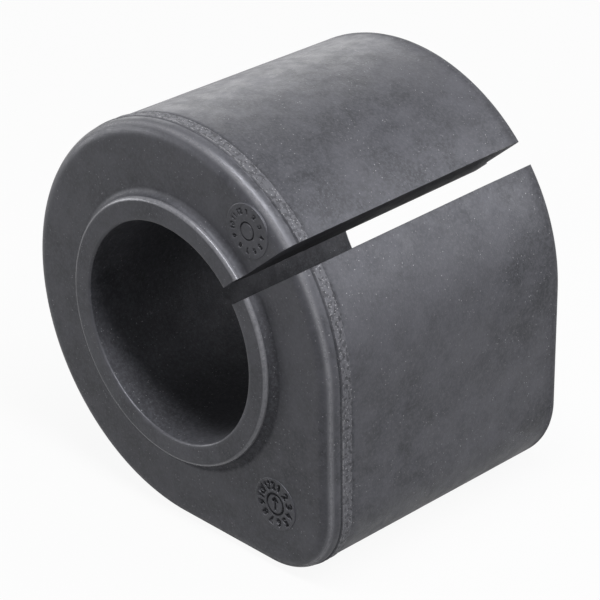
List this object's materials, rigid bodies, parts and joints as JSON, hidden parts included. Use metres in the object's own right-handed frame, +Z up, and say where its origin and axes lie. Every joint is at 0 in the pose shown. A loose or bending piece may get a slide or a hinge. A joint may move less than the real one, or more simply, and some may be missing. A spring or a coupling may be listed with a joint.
{
  "type": "sway bar bushing",
  "caption": "Split rubber bushing that holds a sway bar: a round body with a squared corner, a bore with a raised collar at each mouth, and a slit.",
  "frame": {"origin": "middle of the bore's axis, halfway along the part", "axes": "+Y runs along the bore, away from the end with the mould dials; +Z is up from the flat base; +X points out of the flat side, with the squared corner between the base and that side"},
  "size_m": [0.0462, 0.0384, 0.0461],
  "materials": {
    "rubber": "matte moulded rubber with a faint grey bloom and fine pale specks"
  },
  "bodies": {
    "root": {"bushing": "rubber"}
  },
  "joints": []
}
